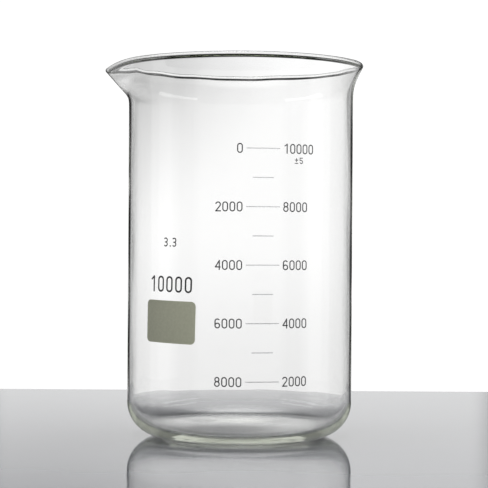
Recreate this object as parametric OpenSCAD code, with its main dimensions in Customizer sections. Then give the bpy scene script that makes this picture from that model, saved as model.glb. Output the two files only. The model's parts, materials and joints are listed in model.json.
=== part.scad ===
// Low-form laboratory beaker of 10 litres: one blown glass vessel with a flared, beaded rim
// and a pouring spout, and the enamel marks that are fired on its wall.
// The origin is on the vessel's axis at table height. +Z is up, the spout points along -X
// and the printed side faces -Y.

/* [Vessel] */
// Outside diameter of the straight wall
outer_diameter = 222; // [180:1:270]
// Height from the table to the top of the rim
height = 368; // [300:1:445]
// Thickness of the wall
wall = 2.7; // [2.2:0.1:3.4]
// Thickness of the floor
floor_thickness = 6; // [4.5:0.5:9]
// Outside radius of the corner between the wall and the base
corner_radius = 34; // [26:1:42]

/* [Rim and spout] */
// Distance that the rim stands out past the wall
rim_overhang = 9.8; // [8:0.1:13]
// Outside radius of the bend below the rim
flare_radius = 50; // [40:1:58]
// Slope of the flared rim, from the vertical
flare_angle = 26; // [21:1:30]
// Radius of the fire-polished bead along the rim
bead_radius = 2.3; // [1.9:0.1:2.8]
// Distance that the spout's lip stands out past the wall
spout_reach = 23.8; // [19:0.1:29]
// Slope of the spout's underside, from the vertical
spout_angle = 42; // [37:1:48]
// Radius of the pouring edge, seen from above
spout_tip_radius = 7; // [5.5:0.5:9]
// How far the lip dips below the rest of the rim
lip_dip = 5; // [3:0.5:7]

/* [Scale] */
// Millilitres from one line to the next
line_step = 1000; // [500:500:1000]
// Millilitres at the lowest line
lowest_line = 2000; // [1000:1000:4000]
// Millilitres at the highest line
highest_line = 10000; // [6000:2000:10000]
// How far below their exact levels the lines are printed
scale_drop = 2.3; // [0:0.1:5]
// Direction of the scale's middle, turned right from the front
scale_azimuth = 11; // [0:1:20]
// Length of the lines that have numerals
major_line = 32; // [26:1:38]
// Length of the lines between them
minor_line = 20; // [12:1:25]
// Thickness of the lines
line_thickness = 0.8; // [0.5:0.1:1.5]
// Height of the numerals
numeral_height = 9.3; // [7.5:0.1:11.5]
// Width of one numeral
numeral_width = 5.4; // [4.5:0.1:6]
// Distance from one numeral to the next
numeral_pitch = 6.7; // [6.4:0.1:8]
// Thickness of the numerals' strokes
numeral_stroke = 1.1; // [0.8:0.1:1.3]
// Gap between the end of a line and the numerals beside it
numeral_gap = 3.4; // [2:0.1:6]
// Height of the tolerance number below the highest line
tolerance_height = 5.8; // [4.8:0.1:7]
// Thickness of the tolerance number's strokes
tolerance_stroke = 0.8; // [0.6:0.1:0.9]
// Distance from the highest line down to the tolerance number's middle
tolerance_drop = 10.9; // [9:0.1:13]

/* [Marking field] */
// Direction of the field's middle, turned left from the front
field_azimuth = 37; // [34:1:60]
// Width of the field
field_width = 58; // [46:1:62]
// Height of the field
field_height = 40; // [32:1:48]
// Radius of the field's corners
field_corner = 4.5; // [3:0.5:6]
// Height of the field's middle above the table
field_level = 116; // [96:1:140]
// Clockwise tilt of the field and of the numbers above it
field_tilt = 1.2; // [0:0.1:2]
// Height of the capacity number
capacity_height = 15.2; // [12:0.1:18]
// Distance from one numeral of the capacity number to the next
capacity_pitch = 10.6; // [9:0.1:12]
// Width of one numeral of the capacity number
capacity_width = 7.6; // [6.2:0.1:8.5]
// Thickness of the capacity number's strokes
capacity_stroke = 1.7; // [1.2:0.1:2]
// Distance from the field's middle up to the capacity number's middle
capacity_rise = 35.5; // [34:0.5:42]
// Height of the glass type number
glass_type_height = 8.6; // [7.2:0.1:10]
// Distance from the field's middle up to the glass type number's middle
glass_type_rise = 75; // [62:0.5:90]

/* [Enamel] */
// Thickness of the fired enamel
enamel = 0.15; // [0.1:0.05:0.3]

/* [Hidden] */
$fn = 180;

outer_radius = outer_diameter / 2;
inner_radius = outer_radius - wall;

// Bend under the rim: its centre lies outside the wall, at the height where the flare starts
bend_centre = outer_radius + flare_radius;
bead_centre = outer_radius + rim_overhang - bead_radius;
bead_level = height - bead_radius;
bend_overhang = flare_radius * (1 - cos(flare_angle));
slope_overhang = bead_centre + bead_radius * cos(flare_angle) - outer_radius - bend_overhang;
slope_top = bead_level - bead_radius * sin(flare_angle);
slope_bottom = slope_top - slope_overhang / tan(flare_angle);
flare_bottom = slope_bottom - flare_radius * sin(flare_angle);

// Spout: a straight underside that leaves the wall at spout_bottom and ends in the lip
lip_level = bead_level - lip_dip;
lip_overhang = spout_reach - bead_radius + bead_radius / cos(spout_angle);
spout_bottom = lip_level - lip_overhang / tan(spout_angle);
inner_tip_radius = spout_tip_radius - wall;

// The sector that holds the spout is built apart and seated in a gap in the round rim.
// The spout's end faces lie this far inside the wall's own surfaces, so that the two join.
seat_inset = 0.12;
seat_depth = 2;
seat_turn = 1;
neck_bottom = min(spout_bottom, flare_bottom);
sector_bottom = neck_bottom - 5;
sector_half_angle = lobe_angle(bead_level) + 3;
sector_steps = 16;
wall_steps = 11;
bead_steps = 6;
arc_step = 5;

// Heights of the scale: the bore's area turns a volume into a level, with the liquid that the
// rounded inner corner leaves out added back
inner_corner = corner_radius - wall;
bore_area = PI * inner_radius ^ 2;
corner_section = (1 - PI / 4) * inner_corner ^ 2;
corner_loss = 2 * PI * (inner_radius - 0.2234 * inner_corner) * corner_section;
numbered_lines = [for (v = [highest_line : -2 * line_step : lowest_line]) v];
plain_lines = [for (v = [highest_line - line_step : -2 * line_step : lowest_line]) v];
line_volumes = concat(numbered_lines, plain_lines);

// One degree of turn along the wall's surface
degree = PI * outer_radius / 180;

// ---- Vessel ----

// Outside radius of the round rim's surface at a height, without the bead
function flare_outside(z) =
    z <= flare_bottom ? outer_radius :
    z <= slope_bottom ? bend_centre - sqrt(flare_radius ^ 2 - (z - flare_bottom) ^ 2) :
    outer_radius + bend_overhang + (z - slope_bottom) * tan(flare_angle);

// Inside radius of the round rim's surface at a height, one wall thickness in from the outside
function flare_inside(z) =
    z <= flare_bottom ? inner_radius :
    z <= flare_bottom + (flare_radius + wall) * sin(flare_angle)
        ? bend_centre - sqrt((flare_radius + wall) ^ 2 - (z - flare_bottom) ^ 2)
        : outer_radius + bend_overhang + (z - slope_bottom) * tan(flare_angle)
            - wall / cos(flare_angle);

// Distance of the spout's ridge from the axis at a height, outside and inside
function ridge_outside(z) =
    outer_radius + lip_overhang + (z - lip_level) * tan(spout_angle);
function ridge_inside(z) = ridge_outside(z) - wall / cos(spout_angle);

// Turn at which the spout's flank meets the round rim at a height
function lobe_angle(z) = flank_angle(flare_outside(z), spout_tip_radius, ridge_outside(z));
function flank_angle(round_radius, tip_radius, ridge) =
    ridge <= round_radius ? 0 : acos((round_radius - tip_radius) / (ridge - tip_radius));

// Plan radius at a turn from the spout: the round rim and the tip's circle, joined by the flats
// that touch both
function lobe(round_radius, tip_radius, ridge, turn) =
    let (
        meet = flank_angle(round_radius, tip_radius, ridge),
        centre = ridge - tip_radius,
        tip_end = atan2(tip_radius * sin(meet), centre + tip_radius * cos(meet))
    )
    turn >= meet ? round_radius :
    turn >= tip_end ? round_radius / cos(meet - turn) :
    centre * cos(turn) + sqrt(tip_radius ^ 2 - (centre * sin(turn)) ^ 2);

function vessel_outside(z, turn) =
    lobe(flare_outside(z), spout_tip_radius, ridge_outside(z), turn);
function vessel_inside(z, turn) =
    lobe(flare_inside(z), inner_tip_radius, ridge_inside(z), turn);

// Share of the spout in the rim at a turn: 0 on the round rim and 1 at the lip
function spout_share(turn) =
    (vessel_outside(lip_level, turn) - flare_outside(lip_level))
        / (ridge_outside(lip_level) - flare_outside(lip_level));

// Points around the bead, from the outside over the top to the inside. The surface below the
// bead leans by slope, and centre_gap is how far the inner surface passes from the bead's centre.
function bead_arc(centre, level, radius, slope, steps) =
    let (sweep = 360 - acos((radius - wall) / radius))
    [for (i = [0 : steps]) let (a = -slope + sweep * i / steps)
        [centre + radius * cos(a), level + radius * sin(a)]];

// Round profile of the vessel, from the middle of the base over the rim to the floor
function arc(centre_r, centre_z, radius, from, to) =
    let (steps = ceil(abs(to - from) / arc_step))
    [for (i = [0 : steps]) let (a = from + (to - from) * i / steps)
        [centre_r + radius * cos(a), centre_z + radius * sin(a)]];

vessel_profile = concat(
    [[0, 0]],
    arc(outer_radius - corner_radius, corner_radius, corner_radius, -90, 0),
    arc(bend_centre, flare_bottom, flare_radius, 180, 180 - flare_angle),
    bead_arc(bead_centre, bead_level, bead_radius, flare_angle, 2 * bead_steps),
    arc(bend_centre, flare_bottom, flare_radius + wall, 180 - flare_angle, 180),
    arc(inner_radius - inner_corner, floor_thickness + inner_corner, inner_corner, 0, -90),
    [[0, floor_thickness]]
);

// One section through the spout sector, as [radius, height] points in a ring
function sector_section(turn, inset) =
    let (
        share = spout_share(turn),
        slope = flare_angle + (spout_angle - flare_angle) * share,
        level = bead_level - lip_dip * share,
        centre = vessel_outside(level, turn) - bead_radius / cos(slope),
        arc_points = bead_arc(centre, level, bead_radius - inset, slope, 2 * bead_steps + 1),
        outer_top = arc_points[0][1],
        inner_top = arc_points[len(arc_points) - 1][1]
    )
    concat(
        [[outer_radius - seat_inset, sector_bottom - seat_depth],
         [outer_radius - seat_inset, sector_bottom]],
        [for (i = [0 : wall_steps - 1])
            let (z = neck_bottom + (outer_top - neck_bottom) * i / wall_steps)
            [vessel_outside(z, turn) - inset, z]],
        arc_points,
        [for (i = [wall_steps - 1 : -1 : 0])
            let (z = neck_bottom + (inner_top - neck_bottom) * i / wall_steps)
            [vessel_inside(z, turn) + inset, z]],
        [[inner_radius + seat_inset, sector_bottom],
         [inner_radius + seat_inset, sector_bottom - seat_depth]]
    );

// Turns of the sections, closest together at the lip, with a seated one past each end
sector_turns = concat(
    [-sector_half_angle - seat_turn],
    [for (i = [-sector_steps : sector_steps])
        sign(i) * sector_half_angle * (abs(i) / sector_steps) ^ 1.5],
    [sector_half_angle + seat_turn]
);

module spout_sector() {
    count = len(sector_turns);
    rings = [for (i = [0 : count - 1])
        sector_section(abs(sector_turns[i]), i < 2 || i > count - 3 ? seat_inset : 0)];
    ring_size = len(rings[0]);
    points = [for (i = [0 : count - 1]) for (p = rings[i])
        [-p[0] * cos(sector_turns[i]), -p[0] * sin(sector_turns[i]), p[1]]];
    skin = [for (i = [0 : count - 2]) for (j = [0 : ring_size - 1])
        let (
            a = i * ring_size + j,
            b = i * ring_size + (j + 1) % ring_size,
            c = b + ring_size,
            d = a + ring_size
        )
        each [[a, b, c], [a, c, d]]];
    last = (count - 1) * ring_size;
    caps = [for (j = [0 : ring_size / 2 - 2])
        let (a = j, b = j + 1, c = ring_size - 2 - j, d = ring_size - 1 - j)
        each [[a, c, b], [a, d, c], [last + a, last + b, last + c], [last + a, last + c, last + d]]];
    polyhedron(points = points, faces = concat(skin, caps), convexity = 6);
}

module spout_gap() {
    reach = 2 * (outer_radius + spout_reach);
    half_angle = sector_half_angle + seat_turn / 2;
    edge = reach * [cos(half_angle), sin(half_angle)];
    translate([0, 0, sector_bottom - seat_depth / 2])
        linear_extrude(height = height)
            polygon([[0, 0], [-edge[0], edge[1]], [-reach, edge[1]], [-reach, -edge[1]], -edge]);
}

module glass_vessel() {
    color([0.86, 0.93, 0.90, 0.35])
        union() {
            difference() {
                rotate_extrude() polygon(vessel_profile);
                spout_gap();
            }
            spout_sector();
        }
}

// ---- Numerals, each centred in a cell of width w and height h, with strokes of thickness s ----

module bar(from, to, s) {
    run = to - from;
    translate(from)
        rotate(atan2(run[1], run[0]))
            translate([-s / 2, -s / 2])
                square([norm(run) + s, s]);
}

// Oval with round ends, upright
module oval(w, h) {
    union() {
        square([w, h - w], center = true);
        translate([0, (h - w) / 2]) circle(d = w);
        translate([0, (w - h) / 2]) circle(d = w);
    }
}

module oval_ring(w, h, s) {
    difference() {
        oval(w, h);
        oval(w - 2 * s, h - 2 * s);
    }
}

// Part of a circular stroke, from one direction round to another, under half a turn
module arc_stroke(radius, s, from, to) {
    reach = 2 * radius;
    intersection() {
        difference() {
            circle(r = radius);
            circle(r = radius - s);
        }
        polygon(concat([[0, 0]], [for (i = [0 : 4]) let (a = from + (to - from) * i / 4)
            reach * [cos(a), sin(a)]]));
    }
}

module numeral_0(w, h, s) {
    oval_ring(w, h, s);
}

module numeral_1(w, h, s) {
    translate([w / 6 - s / 2, -h / 2]) square([s, h]);
    bar([w / 6 - s / 2, h / 2 - s * 0.8], [-w / 4, h / 2 - h / 4.5], s * 0.9);
}

module numeral_2(w, h, s) {
    r = w / 2;
    translate([0, h / 2 - r]) arc_stroke(r, s, -35, 100);
    translate([0, h / 2 - r]) arc_stroke(r, s, 90, 170);
    bar([(r - s / 2) * cos(-35), h / 2 - r - (r - s / 2) * sin(35)], [s - r, s - h / 2], s);
    translate([-r, -h / 2]) square([w, s]);
}

module numeral_3(w, h, s) {
    r = h / 4 + s / 4;
    translate([-1.5 * s, -s / 2]) square([1.2 * s, s]);
    for (side = [-1, 1])
        translate([-s / 2, side * (h / 2 - r)]) {
            arc_stroke(r, s, -90, 30);
            arc_stroke(r, s, 20, 90);
            arc_stroke(r, s, side * 90, side * 150);
        }
}

module numeral_4(w, h, s) {
    foot = -h / 2 + h * 0.24;
    post = w * 0.18;
    translate([post, -h / 2]) square([s, h]);
    translate([-w / 2, foot]) square([w, s]);
    intersection() {
        bar([s / 2 - w / 2, foot + s / 2], [post + s / 2, h / 2 - s / 2], s);
        translate([-w / 2, foot]) square([w / 2 + post + s, h / 2 - foot]);
    }
}

module numeral_5(w, h, s) {
    r = w / 2;
    translate([-r, h / 2 - s]) square([w * 0.94, s]);
    translate([-r, 2 * r - h / 2 - s]) square([s, h - 2 * r + s]);
    translate([-r, 2 * r - h / 2 - s]) square([r, s]);
    translate([0, r - h / 2]) {
        arc_stroke(r, s, -90, 20);
        arc_stroke(r, s, 10, 90);
        arc_stroke(r, s, -160, -80);
    }
}

module numeral_6(w, h, s) {
    r = w / 2;
    bowl = h * 0.58;
    translate([0, (bowl - h) / 2]) oval_ring(w, bowl, s);
    translate([-r, bowl / 2 - h / 2]) square([s, h - bowl / 2 - r]);
    translate([0, h / 2 - r]) arc_stroke(r, s, 30, 100);
    translate([0, h / 2 - r]) arc_stroke(r, s, 90, 180);
}

module numeral_8(w, h, s) {
    top = (h + s) * 0.48;
    translate([0, (h - top) / 2]) oval_ring(w * 0.9, top, s);
    translate([0, (s - top) / 2]) oval_ring(w, h + s - top, s);
}

module full_point(w, h, s) {
    translate([0, 0.65 * s - h / 2]) circle(r = 0.65 * s);
}

module plus_minus(w, h, s) {
    translate([0, h * 0.1]) square([w, s], center = true);
    translate([0, h * 0.1]) square([s, w], center = true);
    translate([0, s / 2 - h / 2]) square([w, s], center = true);
}

module character(sign, w, h, s) {
    if (sign == "0") numeral_0(w, h, s);
    if (sign == "1") numeral_1(w, h, s);
    if (sign == "2") numeral_2(w, h, s);
    if (sign == "3") numeral_3(w, h, s);
    if (sign == "4") numeral_4(w, h, s);
    if (sign == "5") numeral_5(w, h, s);
    if (sign == "6") numeral_6(w, h, s);
    if (sign == "8") numeral_8(w, h, s);
    if (sign == ".") full_point(w, h, s);
    if (sign == "+-") plus_minus(w, h, s);
}

// ---- Marks on the wall ----

// The layer in which all enamel lies: from the wall's surface out to the enamel's thickness
module enamel_layer(level, tall) {
    translate([0, 0, level - tall / 2])
        difference() {
            cylinder(r = outer_radius + enamel, h = tall);
            translate([0, 0, -1]) cylinder(r = outer_radius, h = tall + 2);
        }
}

// Stands a flat shape on the wall at a turn right from the front
module on_wall(azimuth, level, tilt, half_width) {
    depth = outer_radius - sqrt(outer_radius ^ 2 - half_width ^ 2);
    rotate([0, 0, azimuth])
        translate([0, 1 + depth - outer_radius, level])
            rotate([90, 0, 0])
                linear_extrude(height = depth + 2)
                    rotate(-tilt) children();
}

// A row of characters along the wall, with its middle at a turn and a level
module row(signs, azimuth, level, w, h, s, pitch, tilt = 0) {
    count = len(signs);
    intersection() {
        enamel_layer(level, 2 * h + count * pitch * sin(tilt));
        union()
            for (i = [0 : count - 1]) {
                along = (i - (count - 1) / 2) * pitch;
                on_wall(azimuth + along * cos(tilt) / degree, level - along * sin(tilt), tilt, w)
                    character(signs[i], w, h, s);
            }
    }
}

function line_level(volume) =
    floor_thickness - scale_drop + (volume * 1000 + corner_loss) / bore_area;

module line(volume, length) {
    half_turn = length / 2 / degree;
    color([0.82, 0.83, 0.82])
        rotate([0, 0, scale_azimuth - 90 - half_turn])
            rotate_extrude(angle = 2 * half_turn)
                translate([outer_radius, line_level(volume) - line_thickness / 2])
                    square([enamel, line_thickness]);
}

// Numerals of the scale: side is 1 for the right column and -1 for the left one
module scale_number(number, volume, side) {
    signs = str(number);
    row_length = (len(signs) - 1) * numeral_pitch + numeral_width;
    offset_from_middle = major_line / 2 + numeral_gap + row_length / 2;
    color([0.42, 0.43, 0.42])
        row(signs, scale_azimuth + side * offset_from_middle / degree, line_level(volume),
            numeral_width, numeral_height, numeral_stroke, numeral_pitch);
}

module tolerance_number() {
    row_length = (len(str(highest_line)) - 1) * numeral_pitch + numeral_width;
    middle = scale_azimuth + (major_line / 2 + numeral_gap + row_length / 2) / degree;
    cell = tolerance_height * 0.62;
    color([0.42, 0.43, 0.42])
        row(["+-", "5"], middle, line_level(highest_line) - tolerance_drop,
            cell, tolerance_height, tolerance_stroke, cell * 1.45);
}

module marking_field() {
    across = field_width / 2 - field_corner;
    up = field_height / 2 - field_corner;
    color([0.55, 0.56, 0.50])
        intersection() {
            enamel_layer(field_level, 2 * field_height);
            on_wall(-field_azimuth, field_level, field_tilt, field_width / 2 + 1)
                union() {
                    square([field_width, 2 * up], center = true);
                    square([2 * across, field_height], center = true);
                    for (x = [-across, across])
                        for (y = [-up, up])
                            translate([x, y]) circle(r = field_corner);
                }
        }
}

module capacity_number() {
    color([0.36, 0.37, 0.36])
        row(str(highest_line), -field_azimuth + capacity_rise * sin(field_tilt) / degree,
            field_level + capacity_rise * cos(field_tilt),
            capacity_width, capacity_height, capacity_stroke, capacity_pitch, field_tilt);
}

module glass_type_number() {
    cell = glass_type_height * 0.62;
    color([0.42, 0.43, 0.42])
        row("3.3", -field_azimuth + glass_type_rise * sin(field_tilt) / degree,
            field_level + glass_type_rise * cos(field_tilt),
            cell, glass_type_height, numeral_stroke, cell * 0.95, field_tilt);
}

glass_vessel();
marking_field();
capacity_number();
glass_type_number();
tolerance_number();
for (v = numbered_lines)
    line(v, major_line);
for (v = plain_lines)
    line(v, minor_line);
for (v = numbered_lines)
    scale_number(v, v, 1);
for (v = numbered_lines)
    scale_number(highest_line - v, v, -1);
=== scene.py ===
"""Looks of the 10 litre beaker: the blown glass, its fired enamel marks and a plain studio."""
import json
import math

import bpy
import bmesh
from mathutils import Matrix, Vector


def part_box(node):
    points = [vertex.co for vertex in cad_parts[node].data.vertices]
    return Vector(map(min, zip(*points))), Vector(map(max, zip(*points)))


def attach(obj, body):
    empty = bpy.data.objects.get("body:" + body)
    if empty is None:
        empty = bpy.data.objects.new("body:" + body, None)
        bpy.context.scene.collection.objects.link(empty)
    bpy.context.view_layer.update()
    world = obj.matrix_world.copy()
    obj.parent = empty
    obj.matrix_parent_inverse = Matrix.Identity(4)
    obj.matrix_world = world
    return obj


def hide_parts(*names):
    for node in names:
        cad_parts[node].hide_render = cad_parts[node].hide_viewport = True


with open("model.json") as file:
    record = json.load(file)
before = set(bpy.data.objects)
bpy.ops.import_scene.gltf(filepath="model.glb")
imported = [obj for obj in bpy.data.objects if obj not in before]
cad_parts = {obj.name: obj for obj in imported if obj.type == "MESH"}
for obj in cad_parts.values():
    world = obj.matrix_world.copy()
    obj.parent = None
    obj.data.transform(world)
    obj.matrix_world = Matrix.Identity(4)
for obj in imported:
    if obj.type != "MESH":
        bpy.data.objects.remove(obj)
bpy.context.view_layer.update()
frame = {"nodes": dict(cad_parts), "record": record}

# ---- Sizes, in metres. The first group comes from the frame, the second repeats part.scad. ----

vessel_low, vessel_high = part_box("glass_vessel")
mounts = {m["name"]: m for m in frame["record"]["mounts"]}
WALL_RADIUS = mounts["wall_ring"]["dims"]["r_mm"] / 1000
RIM_RADIUS = vessel_high.y
SPOUT_REACH = -vessel_low.x
HEIGHT = vessel_high.z

WALL = 0.0027
FLOOR_THICKNESS = 0.006
CORNER_RADIUS = 0.034
FLARE_RADIUS = 0.050
FLARE_ANGLE = math.radians(26)
BEAD_RADIUS = 0.0023
SPOUT_ANGLE = math.radians(42)
SPOUT_TIP_RADIUS = 0.007
LIP_DIP = 0.005

# What blowing and fire polishing leave in real glass
INNER_CORNER_RADIUS = 0.0297
PUNT_RADIUS = 0.066
PUNT_HEIGHT = 0.0015
FLOOR_CROWN = 0.0008
RIM_WAVE = 0.00025
STREAK_DEPTH = 0.00004
NECK_STREAK_DEPTH = 0.00010
NECK_ABOVE_FLARE = 0.012
NECK_SPREAD = 0.016
SPOUT_SOFTNESS = 0.0018
ROOT_SPREAD = math.radians(26)
ROOT_BELOW = 0.002
ROOT_ABOVE = 0.018

# The marks stay clear of the glass's own mesh by this much
SKIN_GAP = 0.00002

# ---- Camera: level, at the height of the vessel's middle ----

EYE_DISTANCE = 1.686
EYE_HEIGHT = 0.1925
IMAGE_SIZE = 488
FOCAL_PIXELS = 1700
AXIS_LEFT_OF_CENTRE = 3.8
HORIZON_ABOVE_CENTRE = 3.0
LEAN = math.radians(0.38)


def make_camera():
    data = bpy.data.cameras.new("camera")
    data.sensor_width = 36
    data.lens = FOCAL_PIXELS * data.sensor_width / IMAGE_SIZE
    data.clip_end = 30
    camera = bpy.data.objects.new("camera", data)
    bpy.context.scene.collection.objects.link(camera)
    turn_right = math.atan(AXIS_LEFT_OF_CENTRE / FOCAL_PIXELS)
    tip_down = math.atan(HORIZON_ABOVE_CENTRE / FOCAL_PIXELS)
    aim = Matrix.Rotation(-turn_right, 4, "Z") @ Matrix.Rotation(math.pi / 2 - tip_down, 4, "X")
    camera.matrix_world = (
        Matrix.Translation((0, -EYE_DISTANCE, EYE_HEIGHT)) @ aim @ Matrix.Rotation(LEAN, 4, "Z")
    )
    bpy.context.scene.camera = camera


# ---- Shape of the glass ----

BEND_CENTRE = WALL_RADIUS + FLARE_RADIUS
BEND_OVERHANG = FLARE_RADIUS * (1 - math.cos(FLARE_ANGLE))
BEAD_CENTRE = RIM_RADIUS - BEAD_RADIUS
BEAD_LEVEL = HEIGHT - BEAD_RADIUS
SLOPE_TOP = BEAD_LEVEL - BEAD_RADIUS * math.sin(FLARE_ANGLE)
SLOPE_BOTTOM = SLOPE_TOP - (
    BEAD_CENTRE + BEAD_RADIUS * math.cos(FLARE_ANGLE) - WALL_RADIUS - BEND_OVERHANG
) / math.tan(FLARE_ANGLE)
FLARE_BOTTOM = SLOPE_BOTTOM - FLARE_RADIUS * math.sin(FLARE_ANGLE)
LIP_LEVEL = BEAD_LEVEL - LIP_DIP
LIP_OVERHANG = SPOUT_REACH - WALL_RADIUS - BEAD_RADIUS + BEAD_RADIUS / math.cos(SPOUT_ANGLE)
SPOUT_START = LIP_LEVEL - LIP_OVERHANG / math.tan(SPOUT_ANGLE)
ROOT_BOTTOM = SPOUT_START - ROOT_BELOW
ROOT_TOP = SPOUT_START + ROOT_ABOVE
BEND_START = FLARE_BOTTOM - 0.012
INNER_CORNER_TOP = CORNER_RADIUS + 0.004

# How the mesh is divided: the turns of the sections round the axis, closest together at the spout
HUB_RADIUS = 0.006
SPOUT_SPAN = math.radians(34)
SPOUT_SECTIONS = 44
SPOUT_CROWDING = 1.35
FAR_SECTIONS = 146


def flare_slope(z):
    return WALL_RADIUS + BEND_OVERHANG + (z - SLOPE_BOTTOM) * math.tan(FLARE_ANGLE)


def flare_outside(z):
    if z <= FLARE_BOTTOM:
        return WALL_RADIUS
    if z <= SLOPE_BOTTOM:
        return BEND_CENTRE - math.sqrt(FLARE_RADIUS ** 2 - (z - FLARE_BOTTOM) ** 2)
    return flare_slope(z)


def flare_inside(z, thickness):
    if z <= FLARE_BOTTOM:
        return WALL_RADIUS - thickness
    radius = FLARE_RADIUS + thickness
    if z <= FLARE_BOTTOM + radius * math.sin(FLARE_ANGLE):
        return BEND_CENTRE - math.sqrt(radius ** 2 - (z - FLARE_BOTTOM) ** 2)
    return flare_slope(z) - thickness / math.cos(FLARE_ANGLE)


def ridge_outside(z):
    """How far the spout's ridge is from the axis: the wall, a soft bend, a straight underside."""
    rise = (z - SPOUT_START) * math.tan(SPOUT_ANGLE) / SPOUT_SOFTNESS
    return WALL_RADIUS + SPOUT_SOFTNESS * (max(rise, 0) + math.log1p(math.exp(-abs(rise))))


def ridge_inside(z, thickness):
    """The same ridge inside: the wall's thickness is taken off square to its slope."""
    rise = (z - SPOUT_START) * math.tan(SPOUT_ANGLE) / SPOUT_SOFTNESS
    slope = math.tan(SPOUT_ANGLE) / (1 + math.exp(-rise))
    return ridge_outside(z) - thickness * math.sqrt(1 + slope * slope)


def lobe(round_radius, tip_radius, ridge, turn):
    """Plan radius at a turn from the spout: the round rim and the tip's circle, joined by flats."""
    centre = ridge - tip_radius
    meet = math.acos(min(1, (round_radius - tip_radius) / centre))
    tip_end = math.atan2(tip_radius * math.sin(meet), centre + tip_radius * math.cos(meet))
    if turn >= meet:
        return round_radius
    if turn >= tip_end:
        return round_radius / math.cos(meet - turn)
    return centre * math.cos(turn) + math.sqrt(tip_radius ** 2 - (centre * math.sin(turn)) ** 2)


def drawn_out(round_radius, tip_radius, ridge, z, turn):
    """Plan radius of the wall with the spout drawn out of it: a broad swelling where it leaves
    the wall, which narrows to the lobe on the way to the lip."""
    if ridge <= round_radius:
        return round_radius
    share = max(0, min(1, (z - ROOT_BOTTOM) / (ROOT_TOP - ROOT_BOTTOM)))
    narrow = share * share * (3 - 2 * share)
    swelling = round_radius + (ridge - round_radius) * math.exp(-(turn / ROOT_SPREAD) ** 2)
    return swelling + (lobe(round_radius, tip_radius, ridge, turn) - swelling) * narrow


def thickness_at(turn, z):
    """Blown glass runs in soft streaks, strongest where the rim was flared."""
    neck = math.exp(-((z - FLARE_BOTTOM - NECK_ABOVE_FLARE) / NECK_SPREAD) ** 2)
    streaks = (
        0.50 * math.sin(5 * turn + 31 * z + 0.4)
        + 0.30 * math.sin(11 * turn - 47 * z + 1.9)
        + 0.20 * math.sin(19 * turn + 60 * z + 4.0)
    )
    return WALL + streaks * (STREAK_DEPTH + NECK_STREAK_DEPTH * neck)


def rim_drop(turn):
    """How far the rim dips at a turn from the spout."""
    return RIM_WAVE * (1 + 0.6 * math.sin(2 * turn + 0.7) + 0.4 * math.sin(5 * turn + 2.1)) / 2


def spaced(low, high, steps):
    return [low + (high - low) * i / steps for i in range(steps + 1)]


def arc(centre_r, centre_z, radius, start, end, steps):
    return [
        (centre_r + radius * math.cos(a), centre_z + radius * math.sin(a))
        for a in spaced(start, end, steps)
    ]


def section(turn):
    """The glass's outline at a turn from the spout: under the base, up, over the rim, down to
    the floor. The last number of spaced and of arc is how many steps it takes."""
    off_spout = abs(turn)
    outside_radius = WALL_RADIUS - SKIN_GAP

    def outside(z):
        ridge = ridge_outside(z)
        return drawn_out(flare_outside(z), SPOUT_TIP_RADIUS, ridge, z, off_spout) - SKIN_GAP

    def inside(z):
        t = thickness_at(turn, z)
        return drawn_out(flare_inside(z, t), SPOUT_TIP_RADIUS - t, ridge_inside(z, t), z, off_spout)

    lip_round = flare_outside(LIP_LEVEL)
    share = (outside(LIP_LEVEL) + SKIN_GAP - lip_round) / (ridge_outside(LIP_LEVEL) - lip_round)
    slope = FLARE_ANGLE + (SPOUT_ANGLE - FLARE_ANGLE) * share
    level = BEAD_LEVEL - LIP_DIP * share - rim_drop(turn)
    bead_centre = outside(level) - BEAD_RADIUS / math.cos(slope)
    sweep = 2 * math.pi - math.acos((BEAD_RADIUS - WALL) / BEAD_RADIUS)
    bead = arc(bead_centre, level, BEAD_RADIUS, -slope, -slope + sweep, 22)

    base_flat = WALL_RADIUS - CORNER_RADIUS
    punt = [
        (r, PUNT_HEIGHT * max(0, 1 - (r / PUNT_RADIUS) ** 2) ** 2)
        for r in spaced(HUB_RADIUS, base_flat, 14)
    ]
    floor_flat = WALL_RADIUS - WALL - INNER_CORNER_RADIUS
    corner_centre = FLOOR_THICKNESS + INNER_CORNER_RADIUS
    crown = [
        (r, FLOOR_THICKNESS + FLOOR_CROWN * (1 - (r / floor_flat) ** 2) ** 2)
        for r in spaced(HUB_RADIUS, floor_flat, 14)
    ]
    return (
        punt
        + arc(base_flat, CORNER_RADIUS, CORNER_RADIUS - SKIN_GAP, -math.pi / 2, 0, 26)[1:]
        + [(outside_radius, z) for z in spaced(CORNER_RADIUS, BEND_START, 20)[1:]]
        + [(outside(z), z) for z in spaced(BEND_START, bead[0][1], 30)[1:-1]]
        + bead
        + [(inside(z), z) for z in spaced(bead[-1][1], BEND_START, 30)[1:]]
        + [(inside(z), z) for z in spaced(BEND_START, INNER_CORNER_TOP, 40)[1:]]
        + arc(floor_flat, corner_centre, INNER_CORNER_RADIUS, 0, -math.pi / 2, 24)
        + crown[::-1][1:]
    )


def section_turns():
    steps = range(1, SPOUT_SECTIONS + 1)
    near = [SPOUT_SPAN * (i / SPOUT_SECTIONS) ** SPOUT_CROWDING for i in steps]
    far = spaced(SPOUT_SPAN, math.pi, FAR_SECTIONS)[1:-1]
    half = near + far
    return [0.0] + half + [math.pi] + [-t for t in reversed(half)]


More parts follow.
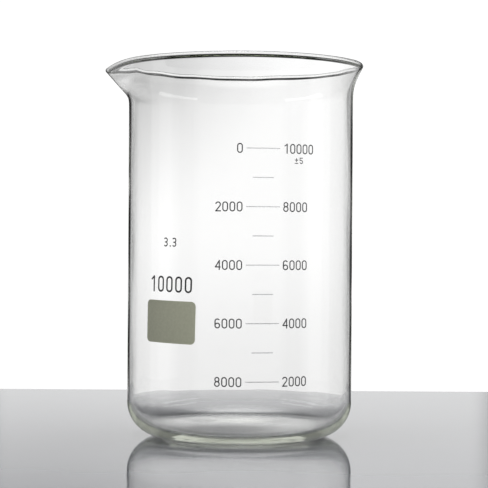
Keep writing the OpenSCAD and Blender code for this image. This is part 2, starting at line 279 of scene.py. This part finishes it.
def glass_mesh():
    mesh = bpy.data.meshes.new("blown_glass")
    bm = bmesh.new()
    rings = []
    for turn in section_turns():
        rings.append([
            bm.verts.new((-r * math.cos(turn), -r * math.sin(turn), z)) for r, z in section(turn)
        ])
    count = len(rings[0])
    for a, b in zip(rings, rings[1:] + rings[:1]):
        for j in range(count - 1):
            bm.faces.new((a[j], a[j + 1], b[j + 1], b[j]))
    under = bm.verts.new((0, 0, PUNT_HEIGHT))
    floor = bm.verts.new((0, 0, FLOOR_THICKNESS + FLOOR_CROWN))
    for a, b in zip(rings, rings[1:] + rings[:1]):
        bm.faces.new((a[0], b[0], under))
        bm.faces.new((a[-1], floor, b[-1]))
    bmesh.ops.recalc_face_normals(bm, faces=bm.faces)
    bm.to_mesh(mesh)
    bm.free()
    for face in mesh.polygons:
        face.use_smooth = True
    return mesh


# ---- Materials ----

GLASS_IOR = 1.473
GLASS_TINT = (0.72, 0.75, 0.65, 1)
GLASS_TINT_DENSITY = 7.0
SMEAR_ROUGHNESS = 0.012

# Each enamel's colour and its worn, paler colour
ENAMELS = {
    "field_enamel": ((0.475, 0.485, 0.365), (0.53, 0.54, 0.415)),
    "dark_enamel": ((0.035, 0.036, 0.037), (0.055, 0.056, 0.057)),
    "grey_enamel": ((0.05, 0.051, 0.053), (0.075, 0.076, 0.078)),
    "pale_enamel": ((0.42, 0.425, 0.43), (0.49, 0.495, 0.50)),
}
ENAMEL_ROUGHNESS = (0.42, 0.58)
TABLE_COLOURS = ((0.225, 0.233, 0.252), (0.24, 0.248, 0.268))


class Nodes:
    """A material's node tree, with short calls to add nodes and links."""

    def __init__(self, name):
        self.material = bpy.data.materials.new(name)
        self.material.use_nodes = True
        self.tree = self.material.node_tree
        self.shader = self.tree.nodes["Principled BSDF"]
        self.output = self.tree.nodes["Material Output"]

    def add(self, kind, **settings):
        node = self.tree.nodes.new(kind)
        for key, value in settings.items():
            if key in node.inputs:
                node.inputs[key].default_value = value
            else:
                setattr(node, key, value)
        return node

    def link(self, source, target):
        self.tree.links.new(source, target)

    def ramp(self, source, stops):
        node = self.tree.nodes.new("ShaderNodeValToRGB")
        elements = node.color_ramp.elements
        while len(elements) < len(stops):
            elements.new(0.5)
        for element, (place, value) in zip(elements, stops):
            element.position = place
            element.color = (*value, 1) if isinstance(value, tuple) else (value, value, value, 1)
        self.link(source, node.inputs["Fac"])
        return node.outputs["Color"]


def glass_material():
    """Borosilicate glass, all but colourless, with a faint grey-green cast through its edges."""
    n = Nodes("borosilicate_glass")
    n.shader.inputs["Base Color"].default_value = (1, 1, 1, 1)
    n.shader.inputs["IOR"].default_value = GLASS_IOR
    n.shader.inputs["Transmission Weight"].default_value = 1
    place = n.add("ShaderNodeTexCoord")
    smears = n.add("ShaderNodeTexNoise", Scale=22.0, Detail=3.0)
    n.link(place.outputs["Object"], smears.inputs["Vector"])
    smeared = n.ramp(smears.outputs["Fac"], [(0.45, 0.0), (0.8, SMEAR_ROUGHNESS)])
    n.link(smeared, n.shader.inputs["Roughness"])
    depth = n.add("ShaderNodeVolumeAbsorption", Color=GLASS_TINT, Density=GLASS_TINT_DENSITY)
    n.link(depth.outputs["Volume"], n.output.inputs["Volume"])
    return n.material


def enamel_material(name):
    """Fired enamel: an even colour with fine mottling, pinholes and a dry, slightly rough skin."""
    n = Nodes(name)
    colour, worn = ENAMELS[name]
    smooth, dry = ENAMEL_ROUGHNESS
    place = n.add("ShaderNodeTexCoord")
    mottle = n.add("ShaderNodeTexNoise", Scale=420.0, Detail=4.0)
    grain = n.add("ShaderNodeTexNoise", Scale=2600.0, Detail=2.0)
    for texture in (mottle, grain):
        n.link(place.outputs["Object"], texture.inputs["Vector"])
    mottled = n.ramp(mottle.outputs["Fac"], [(0.35, colour), (0.75, worn)])
    n.link(mottled, n.shader.inputs["Base Color"])
    grained = n.ramp(grain.outputs["Fac"], [(0.3, smooth), (0.7, dry)])
    n.link(grained, n.shader.inputs["Roughness"])
    bump = n.add("ShaderNodeBump", Strength=0.15, Distance=0.00005)
    n.link(grain.outputs["Fac"], bump.inputs["Height"])
    n.link(bump.outputs["Normal"], n.shader.inputs["Normal"])
    n.shader.inputs["Specular IOR Level"].default_value = 0.35
    return n.material


def shade_marks():
    """Every mark is a CAD node that keeps its shape and gets its enamel."""
    materials = {name: enamel_material(name) for name in ENAMELS}
    slots = {s["node"]: s["material_slot"] for s in frame["record"]["subparts"]}
    for node, piece in frame["nodes"].items():
        if slots[node] in materials:
            piece.material_slots[0].material = materials[slots[node]]


# ---- Studio ----

TABLE_HALF = 0.51
TABLE_THICKNESS = 0.012
TABLE_EDGE = 0.002
TABLE_DROP = 0.0002
SURROUND_RADIUS = 3.0
SURROUND_BOTTOM = -1.5
SURROUND_TOP = 3.0
SURROUND_SIDES = 128
OVERHEAD_RADIUS = 2.0
OVERHEAD_HEIGHT = 2.6
OVERHEAD_SIDES = 64

# Levels of light. White is what the camera gets where it looks straight at the studio.
WHITE = 1.05
WORLD_LEVEL = 0.03
FLOOR_LEVEL = 0.12
OVERHEAD_LEVEL = 4.4
BACKDROP_LEVEL = 1.08
DIM_SPOT_LEVEL = 0.37
BELOW_TABLE_SHARE = 0.86
SIDE_LEVEL = 0.52
BOX_LEVEL = 0.30
BOX_BAR_EXTRA = 4.5
LEFT_BOX_DIFFUSE = 0.6
RIGHT_BOX_DIFFUSE = 1.2
REAR_LEVEL = 0.45
FRONT_DIFFUSE = 2.6
DEEP_LEVEL = 0.30

# Edges of the lights: where each is full, and where it has faded out. A height is in metres, a
# side is in degrees from the light's own bearing, and a spot's or lamp's edge is in metres.
BACKDROP_SIDE = (12, 15)
BACKDROP_TOP = (0.75, 1.25)
ABOVE_TABLE = (0.25, -0.2)
DIM_SPOT_EDGE = (0.1, 0.85)
WALL_SIDE = (35, 44)
WALL_TOP = (0.8, 1.1)
BOX_SIDE = (25, 26)
BOX_TOP = (1.60, 1.62)
BOX_BAR_BOTTOM = (1.34, 1.30)
REAR_SIDE = (136, 128)
FRONT_SIDE = (20, 30)
BELOW_HORIZON = (-0.8, -0.5)
OVERHEAD_EDGE = (0.2, OVERHEAD_RADIUS)
DEEP_BOUNCES = (9, 6)

# Bearings of the lights' middles, in degrees from straight behind the vessel
SIDE_BEARING = 68
BOX_BEARING = 104
FRONT_BEARING = 148
DIM_SPOT = (-0.55, 1.0)


def add_mesh(name, verts, faces, material):
    mesh = bpy.data.meshes.new(name)
    mesh.from_pydata(verts, [], faces)
    mesh.materials.append(material)
    piece = bpy.data.objects.new(name, mesh)
    bpy.context.scene.collection.objects.link(piece)
    return piece


class Light(Nodes):
    """An emission whose strength is worked out from the place on the lit surface."""

    def __init__(self, name):
        super().__init__(name)
        self.tree.nodes.remove(self.shader)
        place = self.add("ShaderNodeTexCoord")
        self.axes = self.add("ShaderNodeSeparateXYZ")
        self.link(place.outputs["Object"], self.axes.inputs["Vector"])

    def math(self, operation, a, b=0.0):
        node = self.add("ShaderNodeMath", operation=operation)
        for value, target in zip((a, b), node.inputs):
            if isinstance(value, (int, float)):
                target.default_value = value
            else:
                self.link(value, target)
        return node.outputs["Value"]

    def product(self, first, *others):
        for other in others:
            first = self.math("MULTIPLY", first, other)
        return first

    def total(self, first, *others):
        for other in others:
            first = self.math("ADD", first, other)
        return first

    def mix(self, share, a, b):
        """The first value where the share is 0, the second where it is 1."""
        rest = self.math("SUBTRACT", 1, share)
        return self.total(self.product(rest, a), self.product(share, b))

    def distance(self, a, b, middle):
        squares = [
            self.math("POWER", self.math("SUBTRACT", value, centre), 2)
            for value, centre in zip((a, b), middle)
        ]
        return self.math("SQRT", self.total(*squares))

    def fade(self, value, full, none):
        """1 where the value is at full, 0 where it is at none, and a soft step between."""
        node = self.add("ShaderNodeMapRange", interpolation_type="SMOOTHSTEP")
        node.inputs["From Min"].default_value = none
        node.inputs["From Max"].default_value = full
        self.link(value, node.inputs["Value"])
        return node.outputs["Result"]

    def bearing_from(self, middle):
        """How far, in degrees, the place lies to either side of a direction, 0 being straight
        behind the vessel as the camera sees it and 90 to the right."""
        turn = self.math("ARCTAN2", self.axes.outputs["X"], self.axes.outputs["Y"])
        degrees = self.math("MULTIPLY", turn, 180 / math.pi)
        return self.math("ABSOLUTE", self.math("SUBTRACT", degrees, middle))

    def shine(self, strength, seen):
        """Give off the strength, and the seen level where the camera looks straight at it."""
        path = self.add("ShaderNodeLightPath")
        level = self.mix(path.outputs["Is Camera Ray"], strength, seen)
        lamp = self.add("ShaderNodeEmission", Color=(1, 1, 1, 1))
        self.link(level, lamp.inputs["Strength"])
        self.link(lamp.outputs["Emission"], self.output.inputs["Surface"])


def surround_light():
    """A bright backdrop straight behind, a dark strip beside it that draws the edges of the glass,
    side walls with a softbox at the end of each, and a dimmer light behind the camera."""
    n = Light("surround")
    x, z = n.axes.outputs["X"], n.axes.outputs["Z"]
    path = n.add("ShaderNodeLightPath")
    diffuse = path.outputs["Is Diffuse Ray"]
    spot = n.fade(n.distance(x, z, DIM_SPOT), *DIM_SPOT_EDGE)
    level = n.product(
        n.fade(n.bearing_from(0), *BACKDROP_SIDE),
        n.fade(z, *BACKDROP_TOP),
        n.mix(spot, BACKDROP_LEVEL, DIM_SPOT_LEVEL),
        n.mix(n.fade(z, *ABOVE_TABLE), BELOW_TABLE_SHARE, 1.0),
    )
    bar = n.total(1, n.product(n.fade(z, *BOX_BAR_BOTTOM), BOX_BAR_EXTRA))
    for side, box_diffuse in ((-1, LEFT_BOX_DIFFUSE), (1, RIGHT_BOX_DIFFUSE)):
        wall = n.product(
            n.fade(n.bearing_from(side * SIDE_BEARING), *WALL_SIDE),
            n.fade(z, *WALL_TOP),
            SIDE_LEVEL,
        )
        box = n.product(
            n.fade(n.bearing_from(side * BOX_BEARING), *BOX_SIDE),
            n.fade(z, *BOX_TOP),
            bar,
            n.mix(diffuse, BOX_LEVEL, box_diffuse),
        )
        level = n.total(level, wall, box)
    rear = n.product(n.fade(n.bearing_from(0), *REAR_SIDE), n.fade(z, *WALL_TOP), REAR_LEVEL)
    front = n.product(n.fade(n.bearing_from(FRONT_BEARING), *FRONT_SIDE), diffuse, FRONT_DIFFUSE)
    under = n.product(n.fade(z, *BELOW_HORIZON), FLOOR_LEVEL)
    level = n.total(level, rear, front, under)
    deep = n.product(n.fade(path.outputs["Ray Depth"], *DEEP_BOUNCES), DEEP_LEVEL)
    n.shine(n.math("MAXIMUM", level, deep), WHITE)
    return n.material


def floor_light():
    n = Light("floor_light")
    n.shine(FLOOR_LEVEL, WHITE)
    return n.material


def overhead_light():
    """Brightest in the middle and gone at the edge, so it leaves no hard glare on the glass."""
    n = Light("overhead")
    away = n.distance(n.axes.outputs["X"], n.axes.outputs["Y"], (0, 0))
    n.shine(n.product(n.fade(away, *OVERHEAD_EDGE), OVERHEAD_LEVEL), 1.0)
    return n.material


def table_material():
    n = Nodes("table")
    place = n.add("ShaderNodeTexCoord")
    cloud = n.add("ShaderNodeTexNoise", Scale=6.0, Detail=2.0)
    n.link(place.outputs["Object"], cloud.inputs["Vector"])
    dark, pale = TABLE_COLOURS
    n.link(n.ramp(cloud.outputs["Fac"], [(0.3, dark), (0.7, pale)]), n.shader.inputs["Base Color"])
    n.shader.inputs["Roughness"].default_value = 0.05
    n.shader.inputs["Specular IOR Level"].default_value = 0.2
    return n.material


def make_table():
    bpy.ops.mesh.primitive_cube_add(size=1)
    table = bpy.context.object
    table.name = "table"
    table.scale = (2 * TABLE_HALF, 2 * TABLE_HALF, TABLE_THICKNESS)
    table.location.z = -TABLE_THICKNESS / 2 - TABLE_DROP
    bpy.ops.object.transform_apply(location=False, rotation=False, scale=True)
    edge = table.modifiers.new("edge", "BEVEL")
    edge.width = TABLE_EDGE
    edge.segments = 3
    table.data.materials.append(table_material())


def circle(radius, z, count):
    turns = spaced(0, 2 * math.pi, count)[:-1]
    return [(radius * math.sin(a), radius * math.cos(a), z) for a in turns]


def make_surround():
    """A round studio wall of light on a lit floor."""
    count = SURROUND_SIDES
    low = circle(SURROUND_RADIUS, SURROUND_BOTTOM, count)
    high = circle(SURROUND_RADIUS, SURROUND_TOP, count)
    sides = [(i, (i + 1) % count, (i + 1) % count + count, i + count) for i in range(count)]
    add_mesh("surround", low + high, sides, surround_light())
    add_mesh("floor_light", low, [tuple(range(count))], floor_light())


def make_overhead():
    ring = circle(OVERHEAD_RADIUS, OVERHEAD_HEIGHT, OVERHEAD_SIDES)
    add_mesh("overhead", ring, [tuple(range(OVERHEAD_SIDES))], overhead_light())


def make_world():
    """White where the camera looks past everything, and nearly dark for light on the glass."""
    world = bpy.data.worlds.new("studio")
    bpy.context.scene.world = world
    world.use_nodes = True
    tree = world.node_tree
    background = tree.nodes["Background"]
    background.inputs["Color"].default_value = (1, 1, 1, 1)
    path = tree.nodes.new("ShaderNodeLightPath")
    level = tree.nodes.new("ShaderNodeMapRange")
    level.inputs["To Min"].default_value = WORLD_LEVEL
    level.inputs["To Max"].default_value = WHITE
    tree.links.new(path.outputs["Is Camera Ray"], level.inputs["Value"])
    tree.links.new(level.outputs["Result"], background.inputs["Strength"])


# ---- Build ----

make_camera()
make_world()
make_table()
make_surround()
make_overhead()

glass = bpy.data.objects.new("blown_glass", glass_mesh())
bpy.context.scene.collection.objects.link(glass)
glass.data.materials.append(glass_material())
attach(glass, "root")
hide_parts("glass_vessel")
shade_marks()

# Light turns many times inside thick glass before it comes out
BOUNCES = 128
scene = bpy.context.scene
scene.view_settings.view_transform = "Standard"
scene.cycles.max_bounces = BOUNCES
scene.cycles.transmission_bounces = BOUNCES
scene.cycles.glossy_bounces = BOUNCES
